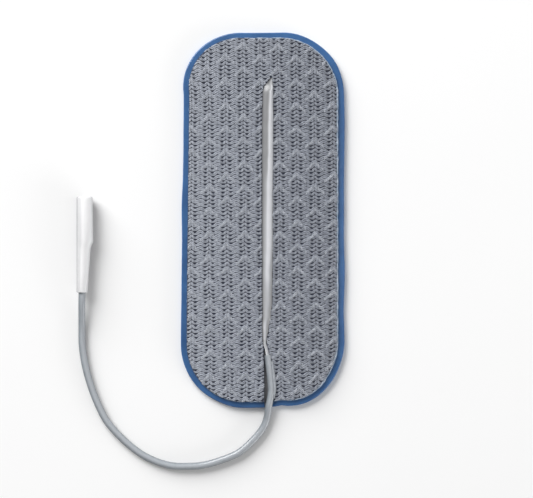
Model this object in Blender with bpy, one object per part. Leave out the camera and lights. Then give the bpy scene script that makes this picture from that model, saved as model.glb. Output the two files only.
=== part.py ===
"""Stick-on nerve stimulation electrode: gel pad, knitted backing, and a pigtail lead with its socket.

The pad lies flat with its gel face on the ground, long side along Y. The origin is the centre of the
gel's underside. The lead leaves the pad's near end, lies on the ground in one open curve and ends in a
moulded socket connector whose mouth faces +Y. All lengths are in metres.
"""

import math

import bmesh
import bpy
from mathutils import Matrix, Vector

# Clearances: between pieces that touch, and inside the small moulded connector.
GAP = 0.0003
FIT = 0.00015

# Gel layer
PAD_WIDTH = 0.0381
PAD_LENGTH = 0.0889
PAD_CORNER = 0.0146
GEL_THICKNESS = 0.0012
GEL_EDGE_ROUND = 0.0003

# Knitted backing
BORDER = 0.00135
BACKING_SHIFT = -0.0002
CLOTH_THICKNESS = 0.00035
RIDGE_HEIGHT = 0.0003
RIDGE_WIDTH = 0.0007
RIDGE_SLOPE = 0.0002
SCALE_PITCH_X = 0.00419
SCALE_PITCH_Y = 0.0056
SCALE_SHIFT = (-0.00033, -0.00045)
SCALE_TOP_HALF = 0.0013
SCALE_PEAK = 0.0008
STITCH_GAP_WIDTH = 0.0016
STITCH_GAP_SLOT = 0.00045
STITCH_GAP_RISE = 0.0006

# Lead: bare conductor inside the pad, then the insulated part
CONDUCTOR_RADIUS = 0.00045
LEAD_RADIUS = 0.00085
LEAD_SINK = 0.00035

# Sealing bead over the conductor
BEAD_WALL = 0.0003
BEAD_DOME = 0.0012
BEAD_DOME_STEPS = 3
BEAD_TAIL_TAPER = 0.86

# Connector, lengths measured from its mouth
CONNECTOR_LENGTH = 0.0229
CONNECTOR_GRIP = 0.0107
GRIP_FLARE = 0.00008
SHOULDER_LENGTH = 0.0018
NECK_EXTRA = 0.00037
MOUTH_WALL = 0.00055
MOUTH_ROUND = 0.0004
TAIL_WALL = 0.0003
TAIL_ROUND = 0.00012
LIP_LENGTH = 0.001
LIP_CLEARANCE = 0.00015

# Metal socket inside it
PIN_BORE_RADIUS = 0.001
SHEET = 0.0002
SOCKET_LENGTH = 0.0095
WAIST_LENGTH = 0.0007
CRIMP_LENGTH = 0.0033
CRIMP_CLEARANCE = 0.00015
SPRING_SLOT_LENGTH = 0.0072
SPRING_SLOT_WIDTH = 0.0003
BARE_STRETCH = 0.0013

# Where the connector's mouth lies on the ground: its straight side, and its end face.
CONNECTOR_SIDE_X = -0.04444
CONNECTOR_MOUTH_Y = 0.00543

# Route of the conductor in the pad, from its buried end to the insulation's cut end.
CONDUCTOR_ROUTE = [
    (0.00070, 0.03100),
    (0.00070, 0.02000),
    (0.00075, 0.01000),
    (0.00075, 0.00000),
    (0.00075, -0.01000),
    (0.00068, -0.02000),
    (0.00060, -0.02560),
    (0.00046, -0.02840),
    (0.00070, -0.03020),
    (0.00100, -0.03150),
]

# Route of the insulated lead: along the slit, over the pad's edge, and round to the connector.
LEAD_ON_PAD = [
    (0.00108, -0.03185),
    (0.00124, -0.03353),
    (0.00155, -0.03591),
    (0.00181, -0.03829),
    (0.00198, -0.04068),
    (0.00176, -0.04258),
    (0.00141, -0.04437),
]
LEAD_ON_GROUND = [
    (0.00074, -0.04819),
    (-0.00038, -0.05043),
    (-0.00291, -0.05334),
    (-0.00591, -0.05587),
    (-0.01001, -0.05761),
    (-0.01406, -0.05875),
    (-0.01788, -0.05906),
    (-0.02169, -0.05894),
    (-0.02514, -0.05804),
    (-0.02867, -0.05641),
    (-0.03196, -0.05401),
    (-0.03484, -0.05131),
    (-0.03754, -0.04805),
    (-0.03987, -0.04335),
    (-0.04147, -0.03897),
    (-0.04266, -0.03434),
    (-0.04328, -0.02977),
    (-0.04333, -0.02650),
]
LEAD_POINTS = 30
CONDUCTOR_POINTS = 24
CURVE_STEPS = 16
CUTTER_SIDES = 16
TURNED_SIDES = 24

# Cutters run this far past what they cut, and points closer than WELD become one.
PAST = 0.002
WELD = 0.000001

# Heights and radii that follow from the sizes above
LEAD_HEIGHT = GEL_THICKNESS + LEAD_SINK
CLOTH_BOTTOM = GEL_THICKNESS + GAP
CLOTH_TOP = CLOTH_BOTTOM + CLOTH_THICKNESS
RIDGE_TOP = CLOTH_TOP + RIDGE_HEIGHT
BEAD_BORE = CONDUCTOR_RADIUS + GAP
BEAD_RADIUS = BEAD_BORE + BEAD_WALL
SLIT_HALF = BEAD_RADIUS + GAP
SOCKET_OUTER = PIN_BORE_RADIUS + SHEET
CRIMP_INNER = CONDUCTOR_RADIUS + CRIMP_CLEARANCE
CRIMP_OUTER = CRIMP_INNER + SHEET
MOUTH_RADIUS = SOCKET_OUTER + FIT + MOUTH_WALL
TAIL_BORE = LEAD_RADIUS + FIT
TAIL_RADIUS = TAIL_BORE + TAIL_WALL
CONNECTOR_HEIGHT = MOUTH_RADIUS + GRIP_FLARE
SOCKET_FRONT = LIP_LENGTH + FIT
CRIMP_START = SOCKET_FRONT + SOCKET_LENGTH + WAIST_LENGTH
CRIMP_END = CRIMP_START + CRIMP_LENGTH
JACKET_END = CRIMP_END + BARE_STRETCH
MOUTH_CENTRE = Vector((CONNECTOR_SIDE_X + MOUTH_RADIUS, CONNECTOR_MOUTH_Y, CONNECTOR_HEIGHT))
TAIL_CENTRE = Vector(
    (CONNECTOR_SIDE_X + TAIL_RADIUS, CONNECTOR_MOUTH_Y - CONNECTOR_LENGTH, CONNECTOR_HEIGHT)
)


def clear_scene():
    for obj in list(bpy.data.objects):
        bpy.data.objects.remove(obj, do_unlink=True)


def finish(name, colour, roughness, metallic=0.0):
    material = bpy.data.materials.new(name)
    material.use_nodes = True
    shader = material.node_tree.nodes["Principled BSDF"]
    shader.inputs["Base Color"].default_value = (*colour, 1.0)
    shader.inputs["Roughness"].default_value = roughness
    shader.inputs["Metallic"].default_value = metallic
    material.diffuse_color = (*colour, 1.0)
    return material


def place(name, data, material=None, parent=None):
    obj = bpy.data.objects.new(name, data)
    bpy.context.scene.collection.objects.link(obj)
    if material:
        data.materials.append(material)
    obj.parent = parent
    return obj


def mesh_of(bm, name, smooth=False):
    mesh = bpy.data.meshes.new(name)
    bm.to_mesh(mesh)
    bm.free()
    if smooth:
        mesh.shade_smooth()
        mesh.set_sharp_from_angle(angle=math.radians(35))
    return mesh


def as_cutter(obj):
    obj.hide_render = True
    obj.display_type = "WIRE"
    return obj


def cut(obj, cutter, operation="DIFFERENCE"):
    boolean = obj.modifiers.new(f"{operation.lower()} {cutter.name}", "BOOLEAN")
    boolean.operation = operation
    boolean.solver = "EXACT"
    boolean.object = cutter


def smooth_route(stops, count):
    """Evenly spaced points on a centripetal Catmull-Rom curve through the stops."""
    stops = [Vector(stop) for stop in stops]
    first = 2 * stops[0] - stops[1]
    last = 2 * stops[-1] - stops[-2]
    padded = [first, *stops, last]
    fine = []
    for a, b, c, d in zip(padded, padded[1:], padded[2:], padded[3:]):
        knots = [0.0]
        for start, end in ((a, b), (b, c), (c, d)):
            knots.append(knots[-1] + (end - start).length ** 0.5)
        for step in range(CURVE_STEPS):
            t = knots[1] + (knots[2] - knots[1]) * step / CURVE_STEPS
            near = between(a, b, knots[0], knots[1], t)
            middle = between(b, c, knots[1], knots[2], t)
            far = between(c, d, knots[2], knots[3], t)
            left = between(near, middle, knots[0], knots[2], t)
            right = between(middle, far, knots[1], knots[3], t)
            fine.append(between(left, right, knots[1], knots[2], t))
    fine.append(stops[-1])
    return evenly(fine, count)


def between(start, end, start_t, end_t, t):
    """The point at t on the line that is at start when t is start_t, and at end when it is end_t."""
    return start.lerp(end, (t - start_t) / (end_t - start_t))


def evenly(points, count):
    """The same path as count points with equal steps along it."""
    lengths = [0.0]
    for start, end in zip(points, points[1:]):
        lengths.append(lengths[-1] + (end - start).length)
    result = []
    segment = 0
    for index in range(count):
        target = lengths[-1] * index / (count - 1)
        while segment < len(points) - 2 and lengths[segment + 1] < target:
            segment += 1
        span = lengths[segment + 1] - lengths[segment]
        result.append(points[segment].lerp(points[segment + 1], (target - lengths[segment]) / span))
    return result


def on_axis(distance):
    """A point on the connector's bore axis, this far in from its mouth."""
    return MOUTH_CENTRE.lerp(TAIL_CENTRE, distance / CONNECTOR_LENGTH)


def lead_path():
    """Centreline of the insulated lead, never lower than where it lies on the ground."""
    on_pad = [Vector((x, y, LEAD_HEIGHT)) for x, y in LEAD_ON_PAD]
    on_ground = [Vector((x, y, LEAD_RADIUS)) for x, y in LEAD_ON_GROUND]
    into_tail = [on_axis(CONNECTOR_LENGTH + PAST), on_axis(CONNECTOR_LENGTH), on_axis(JACKET_END)]
    path = smooth_route(on_pad + on_ground + into_tail, LEAD_POINTS)
    for point in path:
        point.z = max(point.z, LEAD_RADIUS)
    return path


def conductor_path():
    """Centreline of the bare conductor, which stops just short of the insulation's cut end."""
    stops = [Vector((x, y, LEAD_HEIGHT)) for x, y in CONDUCTOR_ROUTE]
    return smooth_route(stops, CONDUCTOR_POINTS)


def tube_curve(name, points, radius, radii=None, bevel_resolution=2):
    """A curve with a round bevel and filled ends, on one straight-segment spline."""
    curve = bpy.data.curves.new(name, "CURVE")
    curve.dimensions = "3D"
    curve.bevel_depth = radius
    curve.bevel_resolution = bevel_resolution
    curve.use_fill_caps = True
    spline = curve.splines.new("POLY")
    spline.points.add(len(points) - 1)
    for index, (target, point) in enumerate(zip(spline.points, points)):
        target.co = (*point, 1.0)
        target.radius = radii[index] if radii else 1.0
    spline.use_smooth = True
    return curve


def swept_mesh(name, points, radius, radii=None):
    """A closed round tube along the points, as a mesh that a Boolean can use."""
    bm = bmesh.new()
    loops = []
    for index, point in enumerate(points):
        ahead = points[min(index + 1, len(points) - 1)]
        behind = points[max(index - 1, 0)]
        facing = (ahead - behind).to_track_quat("Z", "Y").to_matrix().to_4x4()
        size = radius * (radii[index] if radii else 1.0)
        ring = bmesh.ops.create_circle(
            bm, segments=CUTTER_SIDES, radius=size, matrix=Matrix.Translation(point) @ facing
        )
        loops.append(ring["verts"])
    edges = [[edge for edge in bm.edges if set(edge.verts) <= set(loop)] for loop in loops]
    for here, following in zip(edges, edges[1:]):
        bmesh.ops.bridge_loops(bm, edges=here + following)
    bmesh.ops.contextual_create(bm, geom=edges[0])
    bmesh.ops.contextual_create(bm, geom=edges[-1])
    bmesh.ops.recalc_face_normals(bm, faces=bm.faces[:])
    return mesh_of(bm, name)


def rounded_slab(name, width, length, corner, bottom, thickness, shift=0.0, edge_round=0.0):
    """A flat slab with round corners, as a pad is die-cut from a sheet."""
    bm = bmesh.new()
    bmesh.ops.create_grid(bm, x_segments=1, y_segments=1, size=0.5)
    bmesh.ops.scale(bm, vec=(width, length, 1.0), verts=bm.verts)
    bmesh.ops.bevel(
        bm, geom=bm.verts[:], offset=corner, offset_type="OFFSET", segments=10, profile=0.5,
        affect="VERTICES", material=-1,
    )
    bmesh.ops.translate(bm, vec=(shift, 0.0, bottom), verts=bm.verts)
    raised = bmesh.ops.extrude_face_region(bm, geom=bm.faces[:])
    top = [item for item in raised["geom"] if isinstance(item, bmesh.types.BMVert)]
    bmesh.ops.translate(bm, vec=(0.0, 0.0, thickness), verts=top)
    bmesh.ops.recalc_face_normals(bm, faces=bm.faces[:])
    if edge_round:
        rim = [edge for edge in bm.edges if set(edge.verts) <= set(top)]
        bmesh.ops.bevel(
            bm, geom=rim, offset=edge_round, offset_type="OFFSET", segments=3, profile=0.5,
            affect="EDGES", material=-1,
        )
    return mesh_of(bm, name, smooth=True)


def make_gel(parent, conductor, lead):
    """The soft blue layer that meets the skin, with a shallow trough that the lead lies in."""
    blue = finish("blue gel", (0.055, 0.12, 0.29), 0.35)
    mesh = rounded_slab(
        "gel_layer", PAD_WIDTH, PAD_LENGTH, PAD_CORNER, 0.0, GEL_THICKNESS, 0.0, GEL_EDGE_ROUND
    )
    gel = place("gel_layer", mesh, blue, parent)
    narrow = swept_mesh("conductor_trough", [extend(conductor[1], conductor[0], GAP), *conductor], BEAD_BORE)
    wide = swept_mesh("lead_trough", [extend(lead[1], lead[0], GAP), *lead], LEAD_RADIUS + GAP)
    cut(gel, as_cutter(place("conductor_trough", narrow)))
    cut(gel, as_cutter(place("lead_trough", wide)))


def extend(behind, end, distance):
    """The point that lies this far past the end of a path."""
    return end + (end - behind).normalized() * distance


def scale_outline(centre_x, centre_y):
    """One knitted scale: pointed at the top, with the next scale's point coming up from below."""
    half = SCALE_PITCH_Y / 2
    side = SCALE_PITCH_X - SCALE_TOP_HALF
    corners = [
        (-side, 0.0), (-SCALE_TOP_HALF, -half), (0.0, SCALE_PEAK - half), (SCALE_TOP_HALF, -half),
        (side, 0.0), (SCALE_TOP_HALF, half), (0.0, SCALE_PEAK + half), (-SCALE_TOP_HALF, half),
    ]
    return [(centre_x + x, centre_y + y) for x, y in corners]


def scale_centres():
    """Centres of the staggered scales that reach the backing."""
    columns = math.ceil(PAD_WIDTH / 2 / SCALE_PITCH_X) + 1
    rows = math.ceil(PAD_LENGTH / 2 / SCALE_PITCH_Y) + 1
    centres = []
    for column in range(-columns, columns + 1):
        drop = SCALE_PITCH_Y / 2 if column % 2 else 0.0
        for row in range(-rows, rows + 1):
            x = SCALE_SHIFT[0] + column * SCALE_PITCH_X
            y = SCALE_SHIFT[1] + SCALE_PITCH_Y / 2 + row * SCALE_PITCH_Y - drop
            centres.append((x, y))
    return centres


def knit_sheet():
    """The whole cloth as one closed wall: each scale is a pocket inside its raised outline."""
    bm = bmesh.new()
    for x, y in scale_centres():
        bm.faces.new([bm.verts.new((*corner, RIDGE_TOP)) for corner in scale_outline(x, y)])
    bmesh.ops.remove_doubles(bm, verts=bm.verts[:], dist=WELD)
    pockets = bm.faces[:]
    rim = [edge for edge in bm.edges if edge.is_boundary]
    skirt = bmesh.ops.extrude_edge_only(bm, edges=rim)["geom"]
    lowered = [item for item in skirt if isinstance(item, bmesh.types.BMVert)]
    bmesh.ops.translate(bm, vec=(0.0, 0.0, CLOTH_BOTTOM - RIDGE_TOP), verts=lowered)
    bmesh.ops.contextual_create(bm, geom=[edge for edge in bm.edges if edge.is_boundary])
    bmesh.ops.inset_individual(bm, faces=pockets, thickness=RIDGE_WIDTH / 2, depth=0.0)
    bmesh.ops.inset_individual(bm, faces=pockets, thickness=RIDGE_SLOPE, depth=-RIDGE_HEIGHT)
    bmesh.ops.recalc_face_normals(bm, faces=bm.faces[:])
    return mesh_of(bm, "knit_backing")


def stitch_gaps(path):
    """Arrow-shaped gaps through the cloth, one under the point of each whole scale."""
    bm = bmesh.new()
    half_width = STITCH_GAP_WIDTH / 2
    reach_x = PAD_WIDTH / 2 - BORDER - SCALE_PITCH_X / 2
    reach_y = PAD_LENGTH / 2 - BORDER - SCALE_PITCH_Y / 2
    corner = PAD_CORNER - BORDER - SCALE_PITCH_X / 2
    for x, y in scale_centres():
        off_corner_x = max(abs(x - BACKING_SHIFT) - (reach_x - corner), 0.0)
        off_corner_y = max(abs(y) - (reach_y - corner), 0.0)
        inside = math.hypot(off_corner_x, off_corner_y) <= corner
        beside_slit = min(abs(x - point.x) + abs(y - point.y) / 4 for point in path)
        if not inside or beside_slit < SLIT_HALF + STITCH_GAP_WIDTH:
            continue
        peak = y + SCALE_PITCH_Y / 2 + SCALE_PEAK - RIDGE_WIDTH
        low = peak - STITCH_GAP_RISE - STITCH_GAP_SLOT
        arrow = [
            (x - half_width, low), (x, low + STITCH_GAP_RISE), (x + half_width, low),
            (x + half_width, low + STITCH_GAP_SLOT), (x, low + STITCH_GAP_RISE + STITCH_GAP_SLOT),
            (x - half_width, low + STITCH_GAP_SLOT),
        ]
        bm.faces.new([bm.verts.new((*corner, CLOTH_BOTTOM - GAP)) for corner in arrow])
    raised = bmesh.ops.extrude_face_region(bm, geom=bm.faces[:])
    top = [item for item in raised["geom"] if isinstance(item, bmesh.types.BMVert)]
    bmesh.ops.translate(bm, vec=(0.0, 0.0, RIDGE_TOP - CLOTH_BOTTOM + 2 * GAP), verts=top)
    bmesh.ops.recalc_face_normals(bm, faces=bm.faces[:])
    return mesh_of(bm, "stitch_gaps")


def until_past_edge(lead):
    """The lead's points from the slit to the first that is well clear of the pad."""
    kept = []
    for point in lead:
        kept.append(point)
        if point.y < -PAD_LENGTH / 2 - PAST:
            break
    return kept


def slit_ribbon(path):
    """The lengthwise opening in the cloth, a band of constant width along the lead's path."""
    bm = bmesh.new()
    rails = []
    for index, point in enumerate(path):
        ahead = path[min(index + 1, len(path) - 1)]
        behind = path[max(index - 1, 0)]
        run = ahead - behind
        across = Vector((-run.y, run.x, 0.0)).normalized() * SLIT_HALF
        middle = Vector((point.x, point.y, CLOTH_BOTTOM - GAP))
        rails.append((bm.verts.new(middle + across), bm.verts.new(middle - across)))
    for (left, right), (next_left, next_right) in zip(rails, rails[1:]):
        bm.faces.new([left, right, next_right, next_left])
    raised = bmesh.ops.extrude_face_region(bm, geom=bm.faces[:])
    top = [item for item in raised["geom"] if isinstance(item, bmesh.types.BMVert)]
    bmesh.ops.translate(bm, vec=(0.0, 0.0, RIDGE_TOP - CLOTH_BOTTOM + 2 * GAP), verts=top)
    bmesh.ops.recalc_face_normals(bm, faces=bm.faces[:])
    return mesh_of(bm, "slit_ribbon")


def make_backing(parent, conductor, lead):
    """The conductive knitted cloth, die-cut a little smaller than the gel and slit for the lead."""
    yarn = finish("knitted silver yarn", (0.235, 0.25, 0.29), 0.75)
    backing = place("knit_backing", knit_sheet(), yarn, parent)
    outline = rounded_slab(
        "backing_outline", PAD_WIDTH - 2 * BORDER, PAD_LENGTH - 2 * BORDER, PAD_CORNER - BORDER,
        CLOTH_BOTTOM - GAP, RIDGE_TOP - CLOTH_BOTTOM + 2 * GAP, BACKING_SHIFT,
    )
    slit_end = extend(conductor[1], conductor[0], BEAD_DOME + GAP)
    slit_path = [slit_end, *conductor, *until_past_edge(lead)]
    cut(backing, as_cutter(place("backing_outline", outline)), "INTERSECT")
    cut(backing, as_cutter(place("slit_ribbon", slit_ribbon(slit_path))))
    cut(backing, as_cutter(place("stitch_gaps", stitch_gaps(slit_path))))


def make_conductor(parent, conductor):
    """The stripped end of the lead, a bundle of tinned strands against the gel."""
    tin = finish("tinned strands", (0.62, 0.63, 0.65), 0.35, 0.9)
    place("bare_conductor", tube_curve("bare_conductor", conductor, CONDUCTOR_RADIUS), tin, parent)


def make_bead(parent, conductor):
    """The cast bead that closes the slit over the conductor: a half-round ridge, hollow below."""
    pale = finish("pale sealing bead", (0.56, 0.58, 0.60), 0.3)
    covered = [point for point in conductor if point.y > CONDUCTOR_ROUTE[-3][1]]
    angles = [math.pi / 2 * (step + 0.5) / BEAD_DOME_STEPS for step in range(BEAD_DOME_STEPS)]
    dome = [extend(covered[1], covered[0], BEAD_DOME * math.cos(angle)) for angle in angles]
    path = dome + covered
    radii = [math.sin(angle) for angle in angles] + [1.0] * (len(covered) - 1) + [BEAD_TAIL_TAPER]
    outer = bmesh.new()
    outer.from_mesh(swept_mesh("bead_outer", path, BEAD_RADIUS, radii))
    floor = Vector((0.0, 0.0, GEL_THICKNESS + GAP))
    everything = outer.verts[:] + outer.edges[:] + outer.faces[:]
    halved = bmesh.ops.bisect_plane(
        outer, geom=everything, plane_co=floor, plane_no=(0.0, 0.0, -1.0), clear_outer=True
    )
    open_edges = [item for item in halved["geom_cut"] if isinstance(item, bmesh.types.BMEdge)]
    bmesh.ops.contextual_create(outer, geom=open_edges)
    bmesh.ops.recalc_face_normals(outer, faces=outer.faces[:])
    bead = place("seal_bead", mesh_of(outer, "seal_bead", smooth=True), pale, parent)
    channel = [extend(conductor[1], conductor[0], GAP), *conductor]
    cut(bead, as_cutter(place("bead_channel", swept_mesh("bead_channel", channel, BEAD_BORE))))


def make_lead(parent, lead):
    """The insulated part of the lead, from its cut end in the slit to the connector's crimp."""
    grey = finish("grey insulation", (0.36, 0.39, 0.41), 0.3)
    place("lead_wire", tube_curve("lead_wire", lead, LEAD_RADIUS), grey, parent)


def turned(name, profile):
    """A solid turned about the Y axis from (radius, distance in from the mouth) corners."""
    bm = bmesh.new()
    verts = [bm.verts.new((radius, -distance, 0.0)) for radius, distance in profile]
    edges = [bm.edges.new(pair) for pair in zip(verts, verts[1:])]
    if profile[0][0] > 0.0:
        edges.append(bm.edges.new((verts[-1], verts[0])))
    bmesh.ops.spin(
        bm, geom=verts + edges, cent=(0.0, 0.0, 0.0), axis=(0.0, 1.0, 0.0), angle=math.tau,
        steps=TURNED_SIDES, use_merge=True,
    )
    bmesh.ops.remove_doubles(bm, verts=bm.verts[:], dist=WELD)
    bmesh.ops.recalc_face_normals(bm, faces=bm.faces[:])
    return mesh_of(bm, name, smooth=True)


def connector_stations():
    """(distance from the mouth, radius) down the moulded body: grip, shoulder, neck and tail."""
    neck = TAIL_RADIUS + NECK_EXTRA
    after_shoulder = CONNECTOR_GRIP + SHOULDER_LENGTH
    return [
        (0.0, MOUTH_RADIUS),
        (CONNECTOR_GRIP / 2, MOUTH_RADIUS + GRIP_FLARE / 2),
        (CONNECTOR_GRIP, MOUTH_RADIUS + GRIP_FLARE),
        (after_shoulder, neck),
        ((after_shoulder + CONNECTOR_LENGTH) / 2, (neck + TAIL_RADIUS) / 2 + GRIP_FLARE / 4),
        (CONNECTOR_LENGTH, TAIL_RADIUS),
    ]


def housing_body():
    """Round sections lofted from the mouth to the tail, all touching one straight side."""
    bm = bmesh.new()
    facing = Matrix.Rotation(math.pi / 2, 4, "X")
    loops = []
    for distance, radius in connector_stations():
        side = Vector((radius - MOUTH_RADIUS, -distance, 0.0))
        ring = bmesh.ops.create_circle(
            bm, segments=TURNED_SIDES, radius=radius, matrix=Matrix.Translation(side) @ facing
        )
        loops.append([edge for edge in bm.edges if set(edge.verts) <= set(ring["verts"])])
    for here, following in zip(loops, loops[1:]):
        bmesh.ops.bridge_loops(bm, edges=here + following)
    bmesh.ops.contextual_create(bm, geom=loops[0])
    bmesh.ops.contextual_create(bm, geom=loops[-1])
    bmesh.ops.recalc_face_normals(bm, faces=bm.faces[:])
    for loop, rounding in ((loops[0], MOUTH_ROUND), (loops[-1], TAIL_ROUND)):
        bmesh.ops.bevel(
            bm, geom=loop, offset=rounding, offset_type="OFFSET", segments=3, profile=0.5,
            affect="EDGES", material=-1,
        )
    return mesh_of(bm, "connector_housing", smooth=True)


def bore_core():
    """The stepped core that the housing is moulded round: lip, socket, crimp and lead bores."""
    entry = PIN_BORE_RADIUS + LIP_CLEARANCE
    chamber = SOCKET_OUTER + FIT
    crimp = CRIMP_OUTER + FIT
    chamber_end = SOCKET_FRONT + SOCKET_LENGTH + FIT
    crimp_end = CRIMP_END + FIT
    return turned(
        "bore_core",
        [
            (0.0, -PAST), (entry, -PAST), (entry, LIP_LENGTH), (chamber, LIP_LENGTH),
            (chamber, chamber_end), (crimp, chamber_end + WAIST_LENGTH), (crimp, crimp_end),
            (TAIL_BORE, crimp_end), (TAIL_BORE, CONNECTOR_LENGTH + PAST),
            (0.0, CONNECTOR_LENGTH + PAST),
        ],
    )


def socket_shell():
    """The sheet metal socket: a sprung sleeve for the pin, a waist, and the crimp barrel."""
    sleeve_end = SOCKET_FRONT + SOCKET_LENGTH
    return turned(
        "socket_contact",
        [
            (PIN_BORE_RADIUS, SOCKET_FRONT), (SOCKET_OUTER, SOCKET_FRONT),
            (SOCKET_OUTER, sleeve_end), (CRIMP_OUTER, CRIMP_START), (CRIMP_OUTER, CRIMP_END),
            (CRIMP_INNER, CRIMP_END), (CRIMP_INNER, CRIMP_START), (PIN_BORE_RADIUS, sleeve_end),
        ],
    )


def spring_slot():
    """The lengthwise cut that lets the sleeve grip the pin."""
    bm = bmesh.new()
    bmesh.ops.create_cube(bm, size=1.0)
    length = SPRING_SLOT_LENGTH + PAST
    bmesh.ops.scale(bm, vec=(SPRING_SLOT_WIDTH, length, SOCKET_OUTER + PAST), verts=bm.verts)
    middle = Vector((0.0, PAST / 2 - SOCKET_FRONT - SPRING_SLOT_LENGTH / 2, (SOCKET_OUTER + PAST) / 2))
    bmesh.ops.translate(bm, vec=middle, verts=bm.verts)
    return mesh_of(bm, "spring_slot")


def make_connector(parent):
    """The moulded pigtail connector, its metal socket and the strands crimped in it."""
    white = finish("white moulded plastic", (0.84, 0.84, 0.85), 0.35)
    nickel = finish("nickel plate", (0.70, 0.68, 0.64), 0.25, 1.0)
    tin = finish("crimped tinned strands", (0.62, 0.63, 0.65), 0.35, 0.9)
    mouth = bpy.data.objects.new("connector_mouth", None)
    bpy.context.scene.collection.objects.link(mouth)
    mouth.location = MOUTH_CENTRE
    mouth.parent = parent
    lean = TAIL_CENTRE - MOUTH_CENTRE
    bore_turn = math.atan2(lean.x, -lean.y)

    housing = place("connector_housing", housing_body(), white, mouth)
    core = as_cutter(place("bore_core", bore_core(), None, mouth))
    core.rotation_euler.z = bore_turn
    cut(housing, core)

    contact = place("socket_contact", socket_shell(), nickel, mouth)
    contact.rotation_euler.z = bore_turn
    slot = as_cutter(place("spring_slot", spring_slot(), None, mouth))
    slot.rotation_euler.z = bore_turn
    cut(contact, slot)

    ends = [on_axis(CRIMP_START), on_axis(JACKET_END - GAP)]
    strands = tube_curve("crimped_strands", ends, CONDUCTOR_RADIUS)
    place("crimped_strands", strands, tin, parent)


def build():
    clear_scene()
    pad = bpy.data.objects.new("electrode", None)
    bpy.context.scene.collection.objects.link(pad)
    conductor = conductor_path()
    lead = lead_path()
    make_gel(pad, conductor, lead)
    make_backing(pad, conductor, lead)
    make_conductor(pad, conductor)
    make_bead(pad, conductor)
    make_lead(pad, lead)
    make_connector(pad)
    bpy.context.view_layer.update()


build()
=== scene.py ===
# %% [markdown]
# A stick-on nerve stimulation electrode, dressed piece by piece.
# The frame holds eight plain solids at their real size: gel, knitted backing, bead, bare conductor,
# lead, connector housing, metal socket and crimped strands. This lesson replaces the first six by
# finished pieces: a gel with a soft edge, a cloth with its yarns, a cast bead, twisted strands, a
# cloudy lead and a moulded connector. The two metal pieces inside the connector keep their solids and
# get a finish where they are.
# Noise starts from a fixed seed, so that every run lays each yarn alike.

# %% Load the frame
import math

import bmesh
import bpy
from mathutils import Matrix, Vector, noise
from mathutils.kdtree import KDTree


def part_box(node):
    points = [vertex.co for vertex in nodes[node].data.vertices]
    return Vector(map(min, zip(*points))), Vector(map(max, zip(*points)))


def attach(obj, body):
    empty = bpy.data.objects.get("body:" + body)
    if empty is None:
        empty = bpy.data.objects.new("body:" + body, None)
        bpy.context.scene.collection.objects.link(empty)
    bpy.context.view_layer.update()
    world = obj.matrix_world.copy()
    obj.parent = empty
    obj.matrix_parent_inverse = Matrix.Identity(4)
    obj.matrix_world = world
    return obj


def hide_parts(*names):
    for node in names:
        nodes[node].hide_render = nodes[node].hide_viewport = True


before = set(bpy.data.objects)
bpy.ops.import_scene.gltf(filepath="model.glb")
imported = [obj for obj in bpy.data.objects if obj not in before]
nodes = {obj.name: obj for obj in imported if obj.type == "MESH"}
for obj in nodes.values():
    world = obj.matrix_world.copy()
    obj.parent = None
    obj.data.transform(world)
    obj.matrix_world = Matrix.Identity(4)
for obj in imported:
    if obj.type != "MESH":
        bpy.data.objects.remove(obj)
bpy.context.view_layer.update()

BODY = "root"
TO_MM = 1000.0
NOISE_SEED = 7
noise.seed_set(NOISE_SEED)
for name in sorted(nodes):
    low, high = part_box(name)
    size = (high - low) * TO_MM
    print(f"{name}: {size.x:.1f} x {size.y:.1f} x {size.z:.1f} mm")

# %% [markdown]
# Every size that two pieces share comes from the frame, so that nothing has to be fitted later. Only
# what no box can tell, such as a corner radius, is written again here, in metres as everything else.

# %% Sizes that the frame gives
gel_low, gel_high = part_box("gel_layer")
cloth_low, cloth_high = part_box("knit_backing")
_, bead_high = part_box("seal_bead")
housing_low, housing_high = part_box("connector_housing")

pad_size = gel_high - gel_low
cloth_size = cloth_high - cloth_low
cloth_middle = (cloth_low + cloth_high) / 2
border = (pad_size.x - cloth_size.x) / 2
PAD_CORNER = 0.0146
cloth_corner = PAD_CORNER - border
print(f"gel shows {border * TO_MM:.2f} mm wide round the cloth")

# %% [markdown]
# The camera looks straight down. The pad's length in pixels gives the real width of one pixel, that
# gives the width of the view, and the lens turns the view's width into a distance. A long lens keeps
# the thick connector from looking splayed.

# %% Camera
PHOTO_WIDTH = 533
PHOTO_MIDDLE = (266.5, 249.0)
PAD_MIDDLE_PIXEL = (263.0, 219.3)
PAD_LENGTH_PIXELS = 373
LENS = 100.0
SENSOR = 36.0

pixel = pad_size.y / PAD_LENGTH_PIXELS


def from_photo(px, py, height=0.0):
    """The point on the pad's plane that one pixel of the photo shows."""
    return Vector(((px - PAD_MIDDLE_PIXEL[0]) * pixel, (PAD_MIDDLE_PIXEL[1] - py) * pixel, height))


camera_data = bpy.data.cameras.new("camera")
camera_data.lens = LENS
camera_data.sensor_width = SENSOR
camera = bpy.data.objects.new("camera", camera_data)
distance = PHOTO_WIDTH * pixel * LENS / SENSOR
camera.location = from_photo(*PHOTO_MIDDLE, cloth_high.z + distance)
bpy.context.scene.collection.objects.link(camera)
bpy.context.scene.camera = camera
print(f"one pixel is {pixel * TO_MM:.4f} mm, camera {distance * TO_MM:.0f} mm above the cloth")

# %% [markdown]
# Every finish is made of the same few parts: a shader, a noise that lies still on the object, a ramp that
# turns a factor into colours, and a shallow relief. Some factors lean from one side of the pad to the
# other, which paints light and shade across it, and some follow a value that was painted on each vertex,
# mostly painted highlight and shade. A helper for each keeps the cells that follow short.

# %% Helpers for finishes
RAMP_MIDDLE = 0.5


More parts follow.
